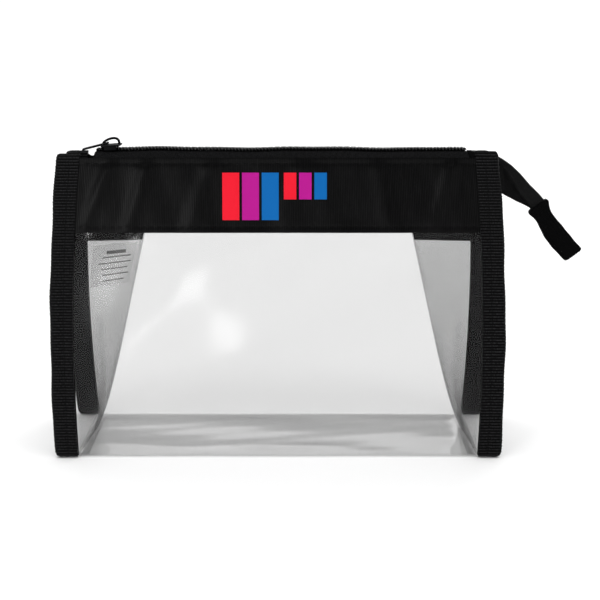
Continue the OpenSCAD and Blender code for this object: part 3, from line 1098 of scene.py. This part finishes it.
def puller():
    """A slim flat loop that hangs on the bridge by its cross bar."""
    c, s = math.cos(PULLER_DROOP), math.sin(PULLER_DROOP)

    def place(u, v, off):
        x = BAR_X + u * c + off * s
        z = BAR_Z + u * s + off * c
        return np.stack([x, v, z + 0 * u], -1)

    length, width, half = 0.0140, 0.0054, 0.0005
    outer = rounded_outline(length, width, 0.0016)
    outer = np.array(outer) + [-length / 2 + 0.0006, 0]
    hole_length, hole_width = 0.0074, 0.0029
    inner = rounded_outline(hole_length, hole_width, 0.0007)
    inner = np.array(inner) + [-hole_length / 2 - 0.0005, 0]
    n = len(outer)
    top = [place(*ring.T, half) for ring in (outer, inner)]
    low = [place(*ring.T, -half) for ring in (outer, inner)]
    points = np.concatenate(top + low)
    faces = []
    for j in range(n):
        k = (j + 1) % n
        faces.append((j, k, n + k, n + j))
        faces.append((2 * n + k, 2 * n + j, 3 * n + j, 3 * n + k))
        faces.append((k, j, 2 * n + j, 2 * n + k))
        faces.append((n + j, n + k, 3 * n + k, 3 * n + j))
    plate = add_mesh("plate", points, faces, METAL)
    ends = np.linspace(-width / 2 + 0.0002, width / 2 - 0.0002, 9)
    bar = tube("bar", [(BAR_X, y, BAR_Z) for y in ends], 0.00062, METAL, sides=12)
    obj = merge("puller_loop", [plate, bar])
    rounded(obj, METAL_EDGE)
    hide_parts("puller")
    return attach(obj, "puller")


# ---------------- tail

# The tail's outer edge, crease and tucked edge, each from the bag outwards: (x, z)
TAIL_UPPER = (
    (0.0976, 0.1552), (0.1060, 0.1536), (0.1130, 0.1520), (0.1162, 0.1502),
    (0.1208, 0.1470), (0.1254, 0.1427), (0.1305, 0.1370), (0.1354, 0.1323),
    (0.1385, 0.1288), (0.1393, 0.1270),
)
TAIL_FOLD = (
    (0.0976, 0.1500), (0.1060, 0.1500), (0.1130, 0.1484), (0.1162, 0.1462),
    (0.1186, 0.1438), (0.1214, 0.1396), (0.1244, 0.1346), (0.1276, 0.1306),
    (0.1306, 0.1272), (0.1326, 0.1252),
)
TAIL_LOWER = (
    (0.0976, 0.1440), (0.1060, 0.1380), (0.1130, 0.1350), (0.1162, 0.1328),
    (0.1184, 0.1315), (0.1210, 0.1302), (0.1240, 0.1286), (0.1280, 0.1268),
    (0.1310, 0.1252), (0.1322, 0.1240),
)


def on_line(line, t):
    """The place at share t of a line of points."""
    line = np.asarray(line, float)
    at = np.linspace(0, 1, len(line))
    return np.stack([np.interp(t, at, line[:, k]) for k in range(2)], -1)


def tail_cloth(name, side):
    """One tape of the tail: an upper face, a crease, and a face tucked under."""

    def place(t, s, off):
        lines = TAIL_UPPER, TAIL_FOLD, TAIL_LOWER
        upper, fold, lower = (on_line(line, t) for line in lines)
        high = np.clip(s * 2, 0, 1)[..., None]
        low = np.clip(s * 2 - 1, 0, 1)[..., None]
        flat = upper + (fold - upper) * high + (lower - fold) * low
        swing = smooth((t - 0.25) / 0.2) * smooth((1.05 - t) / 0.3)
        crest = hill(s - 0.47, 0.13)
        tuck = smooth((s - 0.5) / 0.3) * smooth((1.02 - s) / 0.25)
        out = 0.00092 + swing * (0.0010 * crest - 0.0009 * tuck)
        out = out + 0.00018 * np.sin(t * 31) * swing + off
        return np.stack([flat[..., 0], side * out, flat[..., 1]], -1)

    ts, ss, flip = np.linspace(0, 1, 70), np.linspace(0, 1, 25), side == FRONT
    obj = sheet(name, ts, ss, place, 0.0006, TAIL_BLACK, flip=flip, sharp=70)
    return obj


def tail():
    """The zipper's folded tail: two tapes with the coil between them."""
    for side, word in SIDE_NAME.items():
        obj = tail_cloth(f"tail_{word}_cloth", side)
        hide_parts(f"tail_{word}_tape")
        if side == FRONT:
            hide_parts("zip_end_fold")
        tail_bends(obj)
    t = np.linspace(0.02, 0.97, 260)
    line = on_line(TAIL_UPPER, t)
    beads = np.sin(np.arange(len(t)) * 2 * math.pi / 4.0) * 0.00016
    path = np.stack([line[:, 0], 0 * t, line[:, 1] - 0.0004 + beads], -1)
    chain = tube("tail_chain", path, 0.0007, NYLON, sides=8)
    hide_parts("tail_coil")
    tail_bends(chain)


def on_tab(u, v, off):
    """A place on the pull tab: u down it, v across it, off towards the front."""
    c, s = math.cos(TAB_ANGLE), math.sin(TAB_ANGLE)
    bend = 0.0012 * np.sin(np.clip(u / TAB_LENGTH, 0, 1) * math.pi)
    curl = 0.0010 * np.sin(u / 0.0085) * smooth(u / 0.008)
    x = TAB_ROOT[0] + u * c + (v - bend) * s
    z = TAB_ROOT[1] - u * s + (v - bend) * c
    y = -off + curl + 0 * u
    return np.stack([x, y, z], -1)


def tab_half_width(u):
    """The tab's edge: a collar at the top, then a waist, wavy, wide at the end."""
    collar = 0.0006 * hill(u, 0.0018)
    waist = -0.0009 * hill(u - 0.0065, 0.005)
    ripple = 0.00006 * np.sin(u / 0.0011) + 0.00010 * np.sin(u / 0.0030 + 1)
    return TAB_WIDTH / 2 + collar + waist + ripple


def tab():
    """The folded fabric tab sewn over the tail's end."""

    def place(u, across, off):
        near = np.minimum(u + TAB_COLLAR, TAB_LENGTH - u)
        width = tab_half_width(u) - corner_cut(near, 0.0012)
        ply = 0.0006 * np.sqrt(np.maximum(1 - np.abs(across) ** 6, 0))
        mouth = 0.00085 * hill(u + TAB_COLLAR, 0.0022)
        seam = hill(u - TAB_SEAM_ROW, 0.0007)
        edge = np.abs(across) * width - width + TAB_SEAM_IN
        seam = seam + hill(edge, 0.0006)
        rib = 0.00006 * np.sin(across * width / 0.00028)
        half = 0.0006 + ply + mouth - 0.00016 * seam + rib
        return on_tab(u, across * width, np.sign(off) * half)

    down_it = np.linspace(-TAB_COLLAR, TAB_LENGTH, 110)
    across_it = np.sin(np.linspace(-1, 1, 45) * math.pi / 2)
    obj = sheet("pull_tab", down_it, across_it, place, 0.001, TAB_BLACK, sharp=70)
    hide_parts("tail_tab")
    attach(obj, "tail_end")
    places, level = [], 0.00112
    middle = on_tab(0.02, 0, 0)
    down = middle - on_tab(0.019, 0, 0)
    side_way = on_tab(0.02, 0.001, 0) - middle
    for face in (-1, 1):
        out = np.array([0, -face, 0.0])
        for edge in (-1, 1):
            for i in range(8):
                u = 0.0052 + 0.0034 * i
                v = edge * (float(tab_half_width(u)) - TAB_SEAM_IN)
                places.append((on_tab(u, v, face * level), down, out))
        for i in (-1, 0, 1):
            centre = on_tab(TAB_SEAM_ROW, i * 0.0026, face * level)
            places.append((centre, side_way, out))
    seam = stitches("pull_tab_seam", places, 0.0023, 0.0004, 0.0003)
    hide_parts("tail_tab_stitches")
    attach(seam, "tail_end")


# ---------------- print, label


def print_patch(name, low_left, wide, tall, material):
    """A printed rectangle on the front band, low_left its corner as (x, v)."""
    left, low = low_left

    def place(x, v, off):
        return wall_point(x, v, BAND_FACE + 0.00006 + off, FRONT)

    across, up = np.linspace(left, left + wide, 14), np.linspace(low, low + tall, 14)
    return sheet(name, across, up, place, 0.0001, material)


def printed_blocks():
    """Three tall blocks and three short ones beside them, all from one top line."""
    wide, tall, short = 0.053, 0.024, 0.0135
    block, gap, rows_gap = 0.0086, 0.0014, 0.0026
    left = -wide / 2 - 0.0015
    low = BAND_LOW + (BAND_HEIGHT - tall) / 2 - 0.0005
    short_start = 3 * block + 2 * gap + rows_gap
    narrow = (wide - short_start - 2 * gap) / 3
    for i, (name, ink) in enumerate(
        (("print_red", RED), ("print_magenta", MAGENTA), ("print_blue", BLUE))
    ):
        tall_corner = (left + i * (block + gap), low)
        short_corner = (left + short_start + i * (narrow + gap), low + tall - short)
        parts = [
            print_patch("tall", tall_corner, block, tall, ink),
            print_patch("short", short_corner, narrow, short, ink),
        ]
        obj = merge(name + "_shapes", parts)
        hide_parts(name)
        opens_along(obj)


# The label's plain lines, each from start to end across the leaf, and how thick
LABEL_RULES = (
    (0.28, 0.56, 0.0018),
    (0.20, 0.62, 0.0006),
    (0.18, 0.66, 0.0006),
    (0.22, 0.62, 0.0006),
    (0.19, 0.60, 0.0006),
    (0.24, 0.58, 0.0006),
)


def on_left_leaf(height):
    """Places that high above the left gusset's front leaf, inside the bag."""

    def place(share, v, off):
        return gusset_path(-share * LEAF_SHARE, v, height + off, LEFT)

    return place


def label():
    """A blank film label, with plain ruled lines where a label has its words."""
    low, high = BAND_LOW - 0.0295, BAND_LOW - 0.0075
    shares, vs = np.linspace(0.14, 0.76, 24), np.linspace(low, high, 20)
    film = on_left_leaf(0.00045)
    obj = sheet("gusset_label", shares, vs, film, 0.00015, LABEL, flip=True)
    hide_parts("care_label")
    opens_across(obj)

    rules, ruled = [], on_left_leaf(0.00060)
    for i, (start, end, thick) in enumerate(LABEL_RULES):
        level = high - 0.0035 - i * 0.0031
        shares, vs = np.linspace(start, end, 14), level + np.array([-thick, 0])
        rules.append(sheet("rule", shares, vs, ruled, 0.00005, LABEL_INK, flip=True))
    ink = merge("gusset_label_rules", rules)
    opens_across(ink)


# ---------------- studio


def room():
    """A wide pale floor that rises gently a long way off, like a shallow dish."""
    sides = 64
    turn = np.linspace(0, 2 * math.pi, sides + 1)[:-1]
    rings = [(4, 0), (12, 1.4)]
    points = [(r * math.cos(t), r * math.sin(t), z) for r, z in rings for t in turn]
    faces = [tuple(range(sides))] + quad_grid(2, sides, flip=True, closed=True)
    paint = plain("room_paint", (0.92, 0.92, 0.92), 0.9, specular=0.0)
    add_mesh("floor", np.array(points), faces, paint)


def studio():
    """The floor, the lamps and the camera."""
    scene = bpy.context.scene
    scene.view_settings.view_transform = "Standard"
    scene.cycles.transparent_max_bounces = 32
    room()

    world = bpy.data.worlds.new("studio")
    scene.world = world
    world.use_nodes = True
    background = world.node_tree.nodes["Background"]
    background.inputs["Color"].default_value = (1, 1, 1, 1)
    background.inputs["Strength"].default_value = 0.16

    def lamp(kind, name, place, aim, energy):
        light = bpy.data.lights.new(name, kind)
        light.energy = energy
        obj = bpy.data.objects.new(name, light)
        obj.location = place
        towards = Vector(aim) - Vector(place)
        obj.rotation_euler = towards.to_track_quat("-Z", "Y").to_euler()
        scene.collection.objects.link(obj)
        return light

    sky = lamp("SUN", "sky", (0, 0.25, 1), (0, 0, 0), 3.4)
    sky.angle = math.radians(110)
    for name, place, size, power in (
        ("key", (-0.9, -1.4, 0.36), 0.40, 8.0),
        ("fill", (1.2, -1.0, 0.6), 0.35, 2.0),
        ("glow", (-0.28, -2.0, 0.16), 0.20, 1.6),
        ("rear", (0.8, 1.6, 0.5), 1.00, 5.0),
    ):
        lamp("AREA", name, place, (0, 0, 0.07), power).size = size

    camera = bpy.data.objects.new("camera", bpy.data.cameras.new("camera"))
    camera.location = (0.0114, -0.6448, 0.2327)
    camera.rotation_euler = (math.radians(76.29), 0, 0)
    camera.data.lens, camera.data.sensor_width = 74.9, 36
    camera.data.clip_start = 0.01
    scene.collection.objects.link(camera)
    scene.camera = camera


# ---------------- the bag


def bag():
    """Every piece of the bag."""
    front_sheet()
    base_back_sheet()
    for side in (LEFT, RIGHT):
        gusset_pair(side)
        base_weld(side)
    bindings()
    for side in (FRONT, BACK):
        band(side)
        band_rows(side)
        binding_columns(side)
        zip_tape(side)
        coil(side)
        coil_seam(side)
        zip_stop(side)
    slider()
    puller()
    tail()
    tab()
    printed_blocks()
    label()


studio()
bag()
